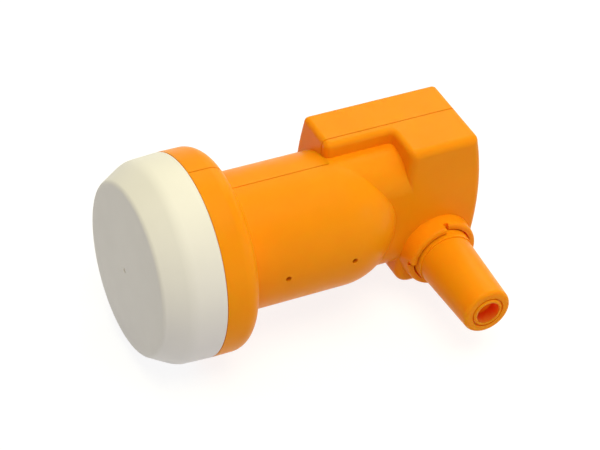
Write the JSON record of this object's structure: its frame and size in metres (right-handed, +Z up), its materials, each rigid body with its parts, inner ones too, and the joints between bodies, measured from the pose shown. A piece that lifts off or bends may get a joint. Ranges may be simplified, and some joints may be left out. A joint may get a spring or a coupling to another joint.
{
  "type": "satellite lnb",
  "caption": "Satellite dish receiver head: capped feed horn on a round clamp neck, box-shaped converter housing and a side cable outlet under a tapered boot.",
  "frame": {"origin": "on the feed axis at the middle of the neck's plain clamp section", "axes": "+X back along the feed axis, away from the dish; the cable outlet points along -Y; +Z up"},
  "size_m": [0.107, 0.071, 0.059],
  "materials": {
    "cap_plastic": "fine satin, cream",
    "housing_plastic": "moulded satin gloss, orange",
    "boot_plastic": "moulded satin gloss, orange",
    "seal_rubber": "matt",
    "absorber": "matt",
    "casting": "as cast",
    "screw_steel": "zinc plated",
    "board": "solder mask",
    "contact_brass": "bright",
    "insulation": "smooth white",
    "ceramic": "matt ceramic",
    "chip_plastic": "moulded black",
    "can_steel": "bright can",
    "connector_plating": "nickel plated"
  },
  "bodies": {
    "housing": {"feed_cap": "cap_plastic", "housing_connector_half": "housing_plastic", "housing_cover_half": "housing_plastic", "cap_seal": "seal_rubber", "connector_seal": "seal_rubber", "lid_gasket": "seal_rubber", "absorber_pad": "absorber", "feed_casting": "casting", "screen_lid": "casting", "lid_screws": "screw_steel", "circuit_board": "board", "straight_probe": "contact_brass", "bent_probe": "contact_brass", "connector_contact": "contact_brass", "straight_probe_sleeve": "insulation", "bent_probe_entry_sleeve": "insulation", "bent_probe_floor_sleeve": "insulation", "connector_insulator": "insulation", "straight_probe_transistor": "ceramic", "bent_probe_transistor": "ceramic", "second_stage_transistor": "ceramic", "output_capacitors": "ceramic", "bias_capacitors": "ceramic", "converter_chip": "chip_plastic", "voltage_regulator": "chip_plastic", "supply_inductor": "chip_plastic", "reference_crystal": "can_steel", "connector_body": "connector_plating"},
    "boot": {"weather_boot": "boot_plastic"}
  },
  "joints": [
    {"name": "boot_slide", "type": "slide", "parent": "housing", "child": "boot", "axis": [0, -1, 0], "range_m": [0, 0.03]}
  ]
}
